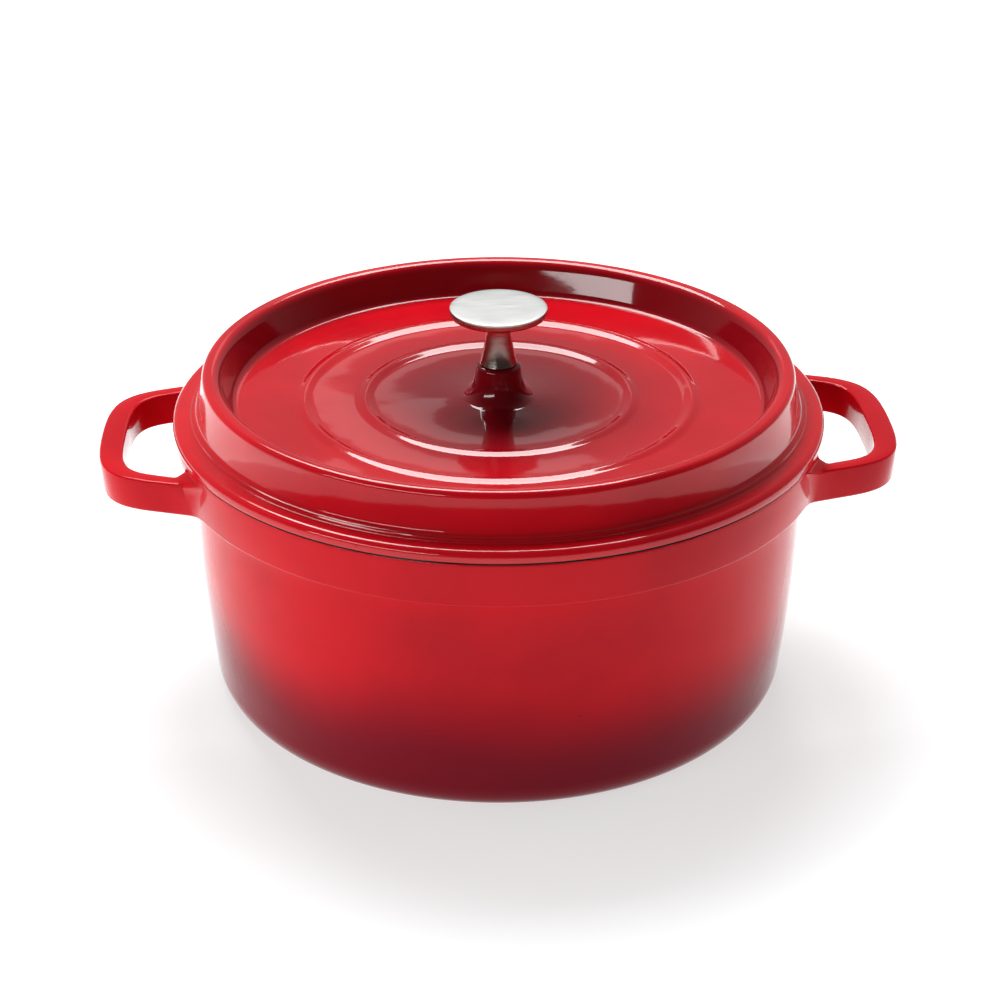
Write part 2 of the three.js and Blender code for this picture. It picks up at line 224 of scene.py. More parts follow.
def arc(centre, radii, start, end, steps):
    """Points on part of an ellipse between two angles in degrees; the first is left out."""
    points = []
    for i in range(1, steps + 1):
        angle = math.radians(start + (end - start) * i / steps)
        points.append((centre[0] + radii[0] * math.cos(angle), centre[1] + radii[1] * math.sin(angle)))
    return points


# ---------------------------------------------------------------- the pot

ARM_IN = math.radians(18.75)       # where an arm's inner and outer sides meet the band
ARM_OUT = math.radians(22.5)
COLUMN = 2 * math.pi / ROUND
FLARE_TOP = SEAM - 2.6 * MM
FLARE_TURNS = {12: 3.6, 13: 3.0, 14: 2.4, 15: 1.8, 16: 1.2, 17: 0.6}   # degrees each column gives way


def pot_section():
    foot = (FOOT_RADIUS, FOOT_HEIGHT)
    top = (WALL_RADIUS, WALL_TOP)
    belly = ((foot[0] + top[0]) / 2 + WALL_BULGE, (foot[1] + top[1]) / 2 - WALL_BULGE)
    inner_foot = FOOT_RADIUS - WALL_THICKNESS
    inner_top = WALL_RADIUS - WALL_THICKNESS
    inner_belly = (belly[0] - WALL_THICKNESS, belly[1])
    land = LIP - RIM_LAND
    shoulder = SPIGOT_BOTTOM - GAP
    corner = (inner_foot - INSIDE_CORNER, FLOOR_THICKNESS + INSIDE_CORNER)
    return [
        (FOOT_RADIUS - FOOT_WIDTH, 0),
        *arc((FOOT_RADIUS - FOOT_WIDTH, FOOT_HEIGHT), (FOOT_WIDTH, FOOT_HEIGHT), -90, 0, 10),
        *bow(foot, belly, top, 10),
        (LIP, BAND_BOTTOM),
        (LIP, HANDLE_TOP),
        (LIP, FLARE_TOP),
        (LIP, SEAM),
        (land, SEAM),
        (land, shoulder),
        (inner_top, shoulder - SHOULDER_FALL),
        (inner_top, WALL_TOP),
        *bow((inner_top, WALL_TOP), inner_belly, (inner_foot, FLOOR_THICKNESS + INSIDE_CORNER), 8),
        *arc(corner, (INSIDE_CORNER, INSIDE_CORNER), 0, -90, 8),
        (0, FLOOR_THICKNESS),
    ]


def band_column(vert):
    """Which column of the band a vertex stands on, counted from the handle's middle line."""
    return math.atan2(vert.co.y, vert.co.x) / COLUMN


def in_columns(face, low, high):
    return all(low - 0.01 < band_column(v) < high + 0.01 for v in face.verts)


def quarter(pot):
    """Keeps one quarter of the pot, to be mirrored once its handle arm is shaped."""
    for normal in ((1, 0, 0), (0, 1, 0)):
        bpy.ops.mesh.select_all(action="SELECT")
        bpy.ops.mesh.bisect(plane_co=(0, 0, 0), plane_no=normal, clear_inner=True, threshold=NEAR)


def sink_pocket(pot):
    """Cuts the rim band back to its lip between the handle's arms."""
    last = round(ARM_IN / COLUMN)

    def pocket_face(face):
        if not in_columns(face, 0, last):
            return False
        heights = [v.co.z for v in face.verts]
        outside = all(radius_of(v.co) > WALL_RADIUS - NEAR for v in face.verts)
        return outside and min(heights) > WALL_TOP - NEAR and max(heights) < HANDLE_TOP + NEAR
    pick(pot, "FACE", pocket_face)
    bpy.ops.mesh.extrude_region_move(TRANSFORM_OT_translate={"value": (0, 0, 0)})
    shape = bmesh.from_edit_mesh(pot.data)
    for vert in shape.verts:
        lip_vert = on_ring(vert, LIP, BAND_BOTTOM) or on_ring(vert, LIP, HANDLE_TOP)
        vert.select_set(vert.select and lip_vert)
    sunk = POCKET_WALL / LIP
    bpy.ops.transform.resize(value=(sunk, sunk, 1), center_override=(0, 0, 0))
    drop_plane_faces(pot)
    weld(pot)


def drop_plane_faces(pot):
    """Removes the faces that lie in the mirror planes."""
    pick(pot, "FACE", lambda f: all(abs(v.co.y) < NEAR for v in f.verts))
    bpy.ops.mesh.delete(type="FACE")


def slide_flare(pot):
    """Turns the band's upper columns aside, so that the arm's root is broad at the top."""
    for column, degrees in reversed(sorted(FLARE_TURNS.items())):
        for height, share in ((FLARE_TOP, 1.0), (HANDLE_TOP, 0.8)):
            def on_column(vert):
                return on_ring(vert, LIP, height) and abs(band_column(vert) - column) < 0.01
            pick(pot, "VERT", on_column)
            bpy.ops.transform.rotate(
                value=-math.radians(degrees * share), orient_axis="Z", center_override=(0, 0, 0))


def handle_plan(t):
    """Outer and inner points of the handle's plan, from the shoulder (0) to the grip's middle (1)."""
    outer = sweep(SHOULDER_OUT, CORNER_OUT, (HANDLE_TIP, GRIP_PULL_OUT), (HANDLE_TIP, 0), t)
    inside = HANDLE_TIP - GRIP_WIDTH
    inner = sweep(SHOULDER_IN, CORNER_IN, (inside, GRIP_PULL_IN), (inside, 0), t)
    return outer, inner


def lower_root(pot):
    """Brings the band's bottom edge down to the handle's where an arm leaves it."""
    first, last = round(ARM_IN / COLUMN), round(ARM_OUT / COLUMN)
    drop = BAND_BOTTOM - HANDLE_BOTTOM - 0.1 * MM
    for low, high, share in ((first, last, 1.0), (last + 1, last + 1, 0.45)):
        def wanted(vert):
            column = band_column(vert)
            return on_ring(vert, LIP, BAND_BOTTOM) and low - 0.1 < column < high + 0.1
        pick(pot, "VERT", wanted)
        bpy.ops.transform.translate(value=(0, 0, -drop * share))


def draw_arm(pot):
    """Draws one handle arm out of the band, from its root to the middle of the grip."""
    last = round(ARM_OUT / COLUMN)
    root_in = (LIP * math.cos(ARM_IN), LIP * math.sin(ARM_IN))
    root_out = (LIP * math.cos(ARM_OUT), LIP * math.sin(ARM_OUT))

    def root_face(face):
        heights = [v.co.z for v in face.verts]
        centre = face.calc_center_median()
        outside = all(radius_of(v.co) > LIP - NEAR for v in face.verts)
        if not (outside and min(heights) > HANDLE_BOTTOM and max(heights) < FLARE_TOP + NEAR):
            return False
        if math.atan2(centre.y, centre.x) < ARM_IN:
            return False
        return math.atan2(centre.y, centre.x) < ARM_OUT + math.radians(FLARE_TURNS[last] / 2)
    levels = (HANDLE_BOTTOM, (HANDLE_BOTTOM + HANDLE_TOP) / 2, HANDLE_TOP)

    def section(outer, inner):
        """Places of the nine corners for one section of the arm."""
        places = []
        for row, height in enumerate(levels):
            for across in (0, 0.5, 1):
                draft = HANDLE_DRAFT * (1 - row / 2) * across
                x = inner[0] + (outer[0] - inner[0]) * across
                y = inner[1] + (outer[1] - inner[1]) * across
                run = math.hypot(outer[0] - inner[0], outer[1] - inner[1])
                x -= draft * (outer[0] - inner[0]) / run
                y -= draft * (outer[1] - inner[1]) / run
                places.append(Vector((x, y, height)))
        return places

    def towards(root, shoulder, distance):
        run = math.hypot(shoulder[0] - root[0], shoulder[1] - root[1])
        share = distance / run
        return (root[0] + (shoulder[0] - root[0]) * share, root[1] + (shoulder[1] - root[1]) * share)

    outer, inner = handle_plan(0)
    root_section = []
    for row, distance in enumerate(ROOT_RISE):
        near_out = towards(root_out, outer, distance)
        near_in = towards(root_in, inner, distance)
        root_section += section(near_out, near_in)[3 * row:3 * row + 3]
    stations = [root_section]
    start_out = towards(root_out, outer, ROOT_RISE[2])
    start_in = towards(root_in, inner, ROOT_RISE[2])
    for i in range(1, ARM_STEPS):
        share = i / ARM_STEPS
        between_out = tuple(a + (b - a) * share for a, b in zip(start_out, outer))
        between_in = tuple(a + (b - a) * share for a, b in zip(start_in, inner))
        stations.append(section(between_out, between_in))
    for i in range(GRIP_STEPS + 1):
        stations.append(section(*handle_plan(i / GRIP_STEPS)))

    across = Vector((root_out[0] - root_in[0], root_out[1] - root_in[1], 0))
    pick(pot, "FACE", root_face)
    for places in stations:
        bpy.ops.mesh.extrude_region_move(TRANSFORM_OT_translate={"value": (0, 0, 0)})
        shape = bmesh.from_edit_mesh(pot.data)
        corners = sorted((v for v in shape.verts if v.select), key=lambda v: round(v.co.z / NEAR))
        rows = [corners[0:3], corners[3:6], corners[6:9]]
        ordered = []
        for row in rows:
            ordered += sorted(row, key=lambda v: across.dot(v.co))
        marks = [v.index for v in ordered]
        moves = [place - v.co for place, v in zip(places, ordered)]
        for mark, move in zip(marks, moves):
            shape = bmesh.from_edit_mesh(pot.data)
            shape.verts.ensure_lookup_table()
            bpy.ops.mesh.select_mode(type="VERT")
            bpy.ops.mesh.select_all(action="DESELECT")
            shape.verts[mark].select_set(True)
            bpy.ops.transform.translate(value=move)
        shape = bmesh.from_edit_mesh(pot.data)
        shape.verts.ensure_lookup_table()
        for mark in marks:
            shape.verts[mark].select_set(True)
        shape.select_flush(True)
        bpy.ops.mesh.select_mode(type="FACE")
        across = places[2] - places[0]
    drop_plane_faces(pot)
    weld(pot)


def make_pot():
    pot = turn("pot_casting", pot_section())
    close_at_axis(pot, FOOT_RADIUS - FOOT_WIDTH, 0)
    quarter(pot)
    slide_flare(pot)
    sink_pocket(pot)
    lower_root(pot)
    draw_arm(pot)
    end_edit()
    apply_modifier(
        pot, "MIRROR", use_axis=(True, True, False), use_clip=True,
        use_mirror_merge=True, merge_threshold=NEAR)
    start_edit(pot)
    weld(pot)
    end_edit()
    apply_modifier(
        pot, "BEVEL", limit_method="ANGLE", angle_limit=SHARP, width=EDGE_ROUND, segments=3,
        use_clamp_overlap=True)
    start_edit(pot)
    weld(pot)
    finish_shape(pot)
    return pot


# ---------------------------------------------------------------- the lid

INNER_RIDGE = 58.8 * MM
OUTER_RIDGE = 84 * MM
RIDGE_HEIGHT = 0.9 * MM
RIDGE_DROP = 0.5 * MM              # how much lower the floor is inside each ridge
FLANGE_WIDTH = 7.6 * MM
STEP_HEIGHT = 1.4 * MM
STEP_WIDTH = 2.2 * MM
STEP_SLOPE = 0.5 * MM
RIM_FOOT_LEAN = 2.9 * MM           # how far the rim's outer side leans in, from step to crown
RIM_WIDTH = 8.6 * MM
RIM_WALL = 3.4 * MM                # iron left round the hollow under the rim
WELL_LEAN = 2.2 * MM               # how far the well's wall leans in, from crown to floor
WELL_FILLET = 3.6 * MM
CROWN_IN = (4.6 * MM, 6 * MM)      # width and height of the crown's inner and outer rounds
CROWN_OUT = (2.4 * MM, 2.6 * MM)
SPIGOT_CLEARANCE = 1.1 * MM
SPIGOT_WIDTH = 4 * MM
SPIGOT_TAPER = 1 * MM
HOLLOW_TAPER = 1.5 * MM


def ridge(radius, floor):
    """A low ring on the lid's floor, from its inside out; the floor is a little lower inside it."""
    crest = floor + RIDGE_HEIGHT
    return [
        (radius - 7 * MM, floor - RIDGE_DROP),
        (radius - 3.9 * MM, crest),
        (radius - 2.7 * MM, crest),
        (radius, floor),
    ]


def make_lid():
    centre_floor = WELL_FLOOR - 2 * RIDGE_DROP
    inner_ridge = ridge(INNER_RIDGE, WELL_FLOOR - RIDGE_DROP)
    outer_ridge = ridge(OUTER_RIDGE, WELL_FLOOR)
    step_outer = LID_RADIUS - FLANGE_WIDTH
    step_top = FLANGE_TOP + STEP_HEIGHT
    step_inner = step_outer - STEP_WIDTH
    rim_outer = step_inner - RIM_FOOT_LEAN
    rim_inner = rim_outer - RIM_WIDTH
    well_edge = rim_inner - WELL_LEAN
    well_corner = well_edge - WELL_FILLET
    crown_inner = (rim_inner + CROWN_IN[0], RIM_TOP - CROWN_IN[1])
    crown_outer = (rim_outer - CROWN_OUT[0], RIM_TOP - CROWN_OUT[1])
    spigot_outer = LIP - RIM_LAND - SPIGOT_CLEARANCE
    spigot_inner = spigot_outer - SPIGOT_WIDTH
    hollow_top = RIM_TOP - RIM_WALL
    boss = (9.1 * MM, BOSS_TOP)
    lid = turn("lid_casting", [
        (SCREW_HOLE, BOSS_TOP),
        boss,
        *bow(boss, (10.2 * MM, centre_floor + 1.2 * MM), (15.5 * MM, centre_floor), 9),
        *inner_ridge,
        *outer_ridge,
        (well_corner, WELL_FLOOR),
        *arc((well_corner, WELL_FLOOR + WELL_FILLET), (WELL_FILLET, WELL_FILLET), -90, -17.5, 6),
        *arc(crown_inner, CROWN_IN, 175, 157.6, 1),
        *arc(crown_inner, CROWN_IN, 157.6, 90, 7),
        (crown_outer[0], RIM_TOP),
        *arc(crown_outer, CROWN_OUT, 90, 4, 6),
        (step_inner, step_top),
        (step_outer - STEP_SLOPE, step_top),
        (step_outer, FLANGE_TOP),
        (LID_RADIUS, FLANGE_TOP),
        (LID_RADIUS, LID_SEAT),
        (spigot_outer, LID_SEAT),
        (spigot_outer, SPIGOT_BOTTOM),
        (spigot_inner, SPIGOT_BOTTOM),
        (spigot_inner - SPIGOT_TAPER, LID_UNDERSIDE),
        (rim_outer - HOLLOW_TAPER, LID_UNDERSIDE),
        (rim_outer - RIM_WALL, hollow_top),
        (rim_inner + RIM_WALL, hollow_top),
        (well_edge + RIM_WALL, LID_UNDERSIDE),
        (SCREW_HOLE, LID_UNDERSIDE),
        (SCREW_HOLE, BOSS_TOP),
    ])
    for ridge_rings in (inner_ridge, outer_ridge):
        (foot_in, low), (crest_in, crest), (crest_out, _), (foot_out, floor) = ridge_rings
        soften(lid, [
            (foot_in, low, 1.1 * MM), (crest_in, crest, 0.55 * MM),
            (crest_out, crest, 0.55 * MM), (foot_out, floor, 1.2 * MM),
        ])
    soften(lid, [
        (boss[0], BOSS_TOP, 1.3 * MM),
        (SCREW_HOLE, BOSS_TOP, 0.3 * MM),
        (step_inner, step_top, 1.9 * MM),
        (step_outer - STEP_SLOPE, step_top, 0.7 * MM),
        (step_outer, FLANGE_TOP, 0.9 * MM),
        (LID_RADIUS, LID_SEAT, 0.7 * MM),
        (spigot_outer, LID_SEAT, 0.5 * MM),
        (spigot_outer, SPIGOT_BOTTOM, 0.8 * MM),
        (spigot_inner, SPIGOT_BOTTOM, 0.8 * MM),
        (spigot_inner - SPIGOT_TAPER, LID_UNDERSIDE, 1.2 * MM),
        (rim_outer - HOLLOW_TAPER, LID_UNDERSIDE, 1.2 * MM),
        (rim_outer - RIM_WALL, hollow_top, 1 * MM),
        (rim_inner + RIM_WALL, hollow_top, 0.6 * MM),
        (well_edge + RIM_WALL, LID_UNDERSIDE, 1.2 * MM),
        (SCREW_HOLE, LID_UNDERSIDE, 0.3 * MM),
    ])
    soften(lid, [(LID_RADIUS, FLANGE_TOP, 2.8 * MM)], 6)
    finish_shape(lid)
    return lid


# ---------------------------------------------------------------- the knob and its fixings

DISC_CHAMFER = 0.5 * MM
DISC_LOW_EDGE = 0.45 * MM
DISC_TOP_EDGE = 0.14 * MM


def make_knob_head():
    radius, top, bottom = HEAD_HIGH.x, HEAD_HIGH.z, HEAD_LOW.z
    recess = 3.9 * MM
    recess_top = STEM_HIGH.z + GAP
    head = turn("knob_disc", [
        (recess, recess_top),
        (recess, bottom),
        (radius - DISC_CHAMFER, bottom),
        (radius, bottom + DISC_LOW_EDGE),
        (radius, top - DISC_TOP_EDGE),
        (0.93 * radius, top - 0.06 * MM),
        (0.7 * radius, top - 0.02 * MM),
        (0.35 * radius, top),
        (0, top),
    ], SMALL_ROUND)
    soften(head, [
        (recess, bottom, 0.2 * MM),
        (radius - DISC_CHAMFER, bottom, 0.2 * MM),
        (radius, bottom + DISC_LOW_EDGE, 0.2 * MM),
        (radius, top - DISC_TOP_EDGE, 0.13 * MM),
    ])
    close_at_axis(head, recess, recess_top)
    finish_shape(head)
    return head


def make_stem():
    foot, waist, tenon = STEM_HIGH.x + 0.4 * MM, 5.1 * MM, 3.6 * MM
    flare_top, top_width = 13 * MM, waist + 0.6 * MM
    bottom, top = STEM_LOW.z, HEAD_LOW.z - GAP
    skirt_inner = GASKET_HIGH.x + 0.25 * MM      # the foot's skirt hides the gasket
    skirt_low = BOSS_TOP + GAP
    foot_edge = skirt_low + 0.3 * MM
    bore_top = bottom + 10.7 * MM
    stem = turn("knob_pillar", [
        (SCREW_HOLE, bore_top),
        (SCREW_HOLE, bottom),
        (skirt_inner, bottom),
        (skirt_inner, skirt_low),
        (foot - 0.2 * MM, skirt_low),
        (foot, foot_edge),
        *bow((foot, foot_edge), (waist + 0.9 * MM, bottom + 5 * MM), (waist, bottom + flare_top), 12),
        *bow((waist, bottom + flare_top), (waist, top - 2 * MM), (top_width, top), 5),
        (tenon, top),
        (tenon, STEM_HIGH.z),
        (0, STEM_HIGH.z),
    ], SMALL_ROUND)
    soften(stem, [
        (SCREW_HOLE, bottom, 0.25 * MM),
        (top_width, top, 0.25 * MM),
        (tenon, STEM_HIGH.z, 0.2 * MM),
    ])
    close_at_axis(stem, SCREW_HOLE, bore_top)
    finish_shape(stem)
    return stem


def make_ring(name, inner, outer, bottom, top, edge):
    ring = turn(name, [
        (inner, bottom), (outer, bottom), (outer, top), (inner, top), (inner, bottom)], SMALL_ROUND)
    soften(ring, [(r, h, edge) for r in (inner, outer) for h in (bottom, top)], 2)
    finish_shape(ring)
    return ring


def make_spring_washer():
    bottom, top = SPRING_LOW.z, SPRING_HIGH.z
    outer = SPRING_HIGH.y
    washer = make_ring("spring_ring", SCREW_HOLE, outer, bottom, top, 0.12 * MM)
    slit = math.radians(7.5)
    start_edit(washer)

    def in_slit(face):
        centre = face.calc_center_median()
        return centre.x > 0 and abs(math.atan2(centre.y, centre.x)) < slit
    pick(washer, "FACE", in_slit)
    bpy.ops.mesh.delete(type="FACE")
    bpy.ops.mesh.select_all(action="SELECT")
    bpy.ops.mesh.delete_loose()
    for side in (1, -1):
        pick(washer, "EDGE", lambda e: e.is_boundary and all(side * v.co.y > 0 for v in e.verts))
        bpy.ops.mesh.edge_face_add()
    weld(washer)
    finish_shape(washer)
    return washer


def make_screw():
    head, shank = SCREW_HIGH.x, SCREW_HOLE - 0.35 * MM
    bottom, tip = SCREW_LOW.z, SCREW_HIGH.z
    head_top = bottom + 3.6 * MM
    screw = turn("socket_screw", [
        (head - 0.5 * MM, bottom),
        (head, bottom + 0.5 * MM),
        (head, head_top),
        (shank, head_top),
        (shank, tip - 0.6 * MM),
        (shank - 0.6 * MM, tip),
        (0, tip),
    ], SMALL_ROUND)
    soften(screw, [(head, head_top, 0.25 * MM), (shank, head_top, 0.15 * MM)], 2)
    close_at_axis(screw, head - 0.5 * MM, bottom)
    end_edit()
    bpy.ops.object.select_all(action="DESELECT")
    bpy.ops.mesh.primitive_cylinder_add(
        vertices=6, radius=2.3 * MM, depth=3.6 * MM, location=(0, 0, bottom))
    key = bpy.context.object
    apply_modifier(screw, "BOOLEAN", operation="DIFFERENCE", object=key, solver="EXACT")
    bpy.data.objects.remove(key)
    start_edit(screw)
    weld(screw)
    finish_shape(screw)
    return screw


# ---------------------------------------------------------------- materials

def blank(name):
    material = bpy.data.materials.new(name)
    material.use_nodes = True
    tree = material.node_tree
    tree.nodes.clear()
    shader = tree.nodes.new("ShaderNodeBsdfPrincipled")
    output = tree.nodes.new("ShaderNodeOutputMaterial")
    tree.links.new(shader.outputs["BSDF"], output.inputs["Surface"])
    return material, tree, shader


def add(tree, kind, inputs=None, **settings):
    node = tree.nodes.new("ShaderNode" + kind)
    for key, value in settings.items():
        setattr(node, key, value)
    for key, value in (inputs or {}).items():
        wire(tree, node, key, value)
    return node


def wire(tree, node, key, value):
    if isinstance(value, bpy.types.NodeSocket):
        tree.links.new(value, node.inputs[key])
    else:
        node.inputs[key].default_value = value


def math_of(tree, operation, a, b=0.0):
    return add(tree, "Math", {0: a, 1: b}, operation=operation).outputs[0]


def spread(tree, value, low, high, to_low=0.0, to_high=1.0, smooth=True):
    node = add(tree, "MapRange", {
        "Value": value, "From Min": low, "From Max": high, "To Min": to_low, "To Max": to_high},
        interpolation_type="SMOOTHSTEP" if smooth else "LINEAR")
    return node.outputs["Result"]


def blend_colour(tree, share, a, b):
    node = add(tree, "Mix", data_type="RGBA")
    wire(tree, node, "Factor", share)
    for socket, value in ((node.inputs[6], a), (node.inputs[7], b)):
        if isinstance(value, bpy.types.NodeSocket):
            tree.links.new(value, socket)
        else:
            socket.default_value = (*value, 1)
    return node.outputs[2]


def noise(tree, place, scale, detail=2.0, roughness=0.5):
    return add(tree, "TexNoise", {
        "Vector": place, "Scale": scale, "Detail": detail, "Roughness": roughness}).outputs["Fac"]


def bumps(tree, layers):
    """Stacked bumps: each layer is (height, strength, distance)."""
    normal = None
    for height, strength, distance in layers:
        node = add(tree, "Bump", {"Height": height, "Strength": strength, "Distance": distance})
        if normal is not None:
            tree.links.new(normal, node.inputs["Normal"])
        normal = node.outputs["Normal"]
    return normal


RED = (0.57, 0.0042, 0.011)
DEEP_RED = (0.46, 0.0034, 0.010)
BURGUNDY = (0.20, 0.0010, 0.0110)
LID_HEART = (0.17, 0.002, 0.0065)
POT_GLOSS = 1.19               # refractive index of the glaze's clear coat
LID_GLOSS = 1.42
POT_FADE = (0.018, 0.064)      # heights between which the pot goes from dark to red
LID_FADE = (0.022, 0.088)      # radii between which the lid does
WELL_PAINTED_SHADE = 0.75               # painted shade: how far the colour darkens on the wall of the lid's well


def red_enamel(name, shade, heart, gloss):
    """Glossy red enamel that fades to a dark heart; shade(tree, place) gives the share of red."""
    material, tree, shader = blank(name)
    place = add(tree, "TexCoord").outputs["Object"]
    share = shade(tree, place)
    cloud = spread(tree, noise(tree, place, 14, 3), 0.35, 0.65)
    red = blend_colour(tree, cloud, DEEP_RED, RED)
    colour = blend_colour(tree, share, heart, red)
    # Fine dark specks, where the glaze has gone thin over the iron.
    specks = add(tree, "TexVoronoi", {"Vector": place, "Scale": 160.0, "Randomness": 1.0})
    rare = noise(tree, place, 45, 1)
    speck = math_of(tree, "MULTIPLY",
                    spread(tree, specks.outputs["Distance"], 0.09, 0.04),
                    spread(tree, rare, 0.66, 0.70))
    colour = blend_colour(tree, math_of(tree, "MULTIPLY", speck, 0.8), colour, (0.03, 0.004, 0.004))
    tree.links.new(colour, shader.inputs["Base Color"])
    rough = spread(tree, noise(tree, place, 60, 4, 0.6), 0.3, 0.7, 0.20, 0.27)
    tree.links.new(rough, shader.inputs["Roughness"])
    shader.inputs["IOR"].default_value = 1.5
    shader.inputs["Specular IOR Level"].default_value = 0.03
    shader.inputs["Coat Weight"].default_value = 1.0
    shader.inputs["Coat Roughness"].default_value = 0.06
    shader.inputs["Coat IOR"].default_value = gloss
    flow = noise(tree, place, 55, 1)
    peel = noise(tree, place, 420, 2)
    normal = bumps(tree, [
        (flow, 0.10, 0.0012), (peel, 0.035, 0.0002), (speck, -0.4, 0.0002)])
    tree.links.new(normal, shader.inputs["Normal"])
    tree.links.new(normal, shader.inputs["Coat Normal"])
    return material


def pot_shade(tree, place):
    height = add(tree, "SeparateXYZ", {"Vector": place}).outputs["Z"]
    drift = spread(tree, noise(tree, place, 9, 2), 0.3, 0.7, -0.006, 0.006, smooth=False)
    return spread(tree, math_of(tree, "ADD", height, drift), *POT_FADE)


def lid_shade(tree, place):
    parts = add(tree, "SeparateXYZ", {"Vector": place})
    flat = add(tree, "CombineXYZ", {"X": parts.outputs["X"], "Y": parts.outputs["Y"], "Z": 0.0})
    radius = add(tree, "VectorMath", {0: flat.outputs["Vector"]}, operation="LENGTH").outputs["Value"]
    drift = spread(tree, noise(tree, place, 11, 2), 0.3, 0.7, -0.005, 0.005, smooth=False)
    fade = spread(tree, math_of(tree, "ADD", radius, drift), *LID_FADE)
    # Painted shade: the colour on the wall of the well is darkened, standing in for the shade that falls
    # there.
    wall_in = spread(tree, radius, 0.1075, 0.1110)
    wall_out = spread(tree, radius, 0.1175, 0.1145)
    painted_shade = math_of(tree, "MULTIPLY", math_of(tree, "MULTIPLY", wall_in, wall_out), WELL_PAINTED_SHADE)
    return math_of(tree, "MULTIPLY", fade, math_of(tree, "SUBTRACT", 1.0, painted_shade))


def black_enamel(name):
    material, tree, shader = blank(name)
    place = add(tree, "TexCoord").outputs["Object"]
    grain = noise(tree, place, 900, 3, 0.6)
    mottle = noise(tree, place, 35, 3)
    colour = blend_colour(
        tree, spread(tree, mottle, 0.3, 0.7), (0.010, 0.010, 0.011), (0.020, 0.019, 0.019))
    colour = blend_colour(tree, spread(tree, grain, 0.66, 0.74), colour, (0.07, 0.068, 0.066))
    tree.links.new(colour, shader.inputs["Base Color"])
    tree.links.new(spread(tree, mottle, 0.3, 0.7, 0.42, 0.55), shader.inputs["Roughness"])
    normal = bumps(tree, [(grain, 0.25, 0.0002), (mottle, 0.1, 0.0008)])
    tree.links.new(normal, shader.inputs["Normal"])
    return material


def bare_iron(name):
    """The thinly oiled iron on the rim's land, where pot and lid meet."""
    material, tree, shader = blank(name)
    place = add(tree, "TexCoord").outputs["Object"]
    grain = noise(tree, place, 700, 4, 0.6)
    cloud = noise(tree, place, 60, 2)
    colour = blend_colour(
        tree, spread(tree, cloud, 0.3, 0.7), (0.016, 0.014, 0.013), (0.034, 0.029, 0.026))
    tree.links.new(colour, shader.inputs["Base Color"])
    shader.inputs["Metallic"].default_value = 0.6
    tree.links.new(spread(tree, grain, 0.3, 0.7, 0.45, 0.6), shader.inputs["Roughness"])
    tree.links.new(bumps(tree, [(grain, 0.3, 0.00025)]), shader.inputs["Normal"])
    return material


def steel(name, light, dark, rough, lines, line_scale, line_depth):
    """Stainless steel with fine tool lines: lines(tree, place) says where they run."""
    material, tree, shader = blank(name)
    place = add(tree, "TexCoord").outputs["Object"]
    track = lines(tree, place)
    streak = add(tree, "TexNoise", {
        "Vector": track, "Scale": line_scale, "Detail": 4.0, "Roughness": 0.65}).outputs["Fac"]
    cloud = noise(tree, place, 90, 2)
    tone = math_of(
        tree, "ADD", math_of(tree, "MULTIPLY", streak, 0.7), math_of(tree, "MULTIPLY", cloud, 0.3))
    tree.links.new(
        blend_colour(tree, spread(tree, tone, 0.3, 0.7), dark, light), shader.inputs["Base Color"])
    shader.inputs["Metallic"].default_value = 1.0
    tree.links.new(
        spread(tree, streak, 0.3, 0.7, rough - 0.04, rough + 0.05), shader.inputs["Roughness"])
    tree.links.new(bumps(tree, [(streak, line_depth, 0.00008)]), shader.inputs["Normal"])
    return material


def straight_lines(tree, place):
    return add(tree, "Mapping", {"Vector": place, "Scale": (0.03, 1.0, 1.0)}).outputs["Vector"]


def turned_lines(tree, place):
    """Lines that run round the axis: only radius and height change across them."""
    parts = add(tree, "SeparateXYZ", {"Vector": place})
    flat = add(tree, "CombineXYZ", {"X": parts.outputs["X"], "Y": parts.outputs["Y"], "Z": 0.0})
    radius = add(tree, "VectorMath", {0: flat.outputs["Vector"]}, operation="LENGTH").outputs["Value"]
    return add(tree, "CombineXYZ", {"X": radius, "Y": 0.0, "Z": parts.outputs["Z"]}).outputs["Vector"]


def fibre(name):
    material, tree, shader = blank(name)
    place = add(tree, "TexCoord").outputs["Object"]
    fleck = noise(tree, place, 1500, 3, 0.7)
    tree.links.new(
        blend_colour(tree, spread(tree, fleck, 0.35, 0.65), (0.012, 0.010, 0.009), (0.032, 0.026, 0.022)),
        shader.inputs["Base Color"])
    tree.links.new(spread(tree, fleck, 0.3, 0.7, 0.75, 0.9), shader.inputs["Roughness"])
    tree.links.new(bumps(tree, [(fleck, 0.5, 0.0002)]), shader.inputs["Normal"])
    return material


def coat(piece, *layers):
    """Gives a piece its materials: the first all over, the others on the faces that pass their test."""
    piece.data.materials.clear()
    for material, _ in layers:
        piece.data.materials.append(material)
    start_edit(piece)
    for place, (_, wanted) in enumerate(layers):
        if wanted is not None:
            pick(piece, "FACE", wanted)
            piece.active_material_index = place
            bpy.ops.object.material_slot_assign()
    end_edit()


# ---------------------------------------------------------------- pieces in place

def inside_pot(face):
    centre = face.calc_center_median()
    reach = radius_of(centre)
    if centre.z > SEAM - 1.5 * MM or centre.z < FLOOR_THICKNESS - NEAR:
        return False
    if centre.z < FLOOR_THICKNESS + 1 * MM:
        return face.normal.z > 0.5
    inward = centre.x * face.normal.x + centre.y * face.normal.y < 0
    return inward and reach < LIP - RIM_LAND + 0.1 * MM


def on_land(face):
    centre = face.calc_center_median()
    return centre.z > SEAM - 1.5 * MM and radius_of(centre) < LIP - 1.6 * MM


def under_pot(face):
    centre = face.calc_center_median()
    return centre.z < 0.2 * MM and radius_of(centre) < FOOT_RADIUS - FOOT_WIDTH + 1 * MM


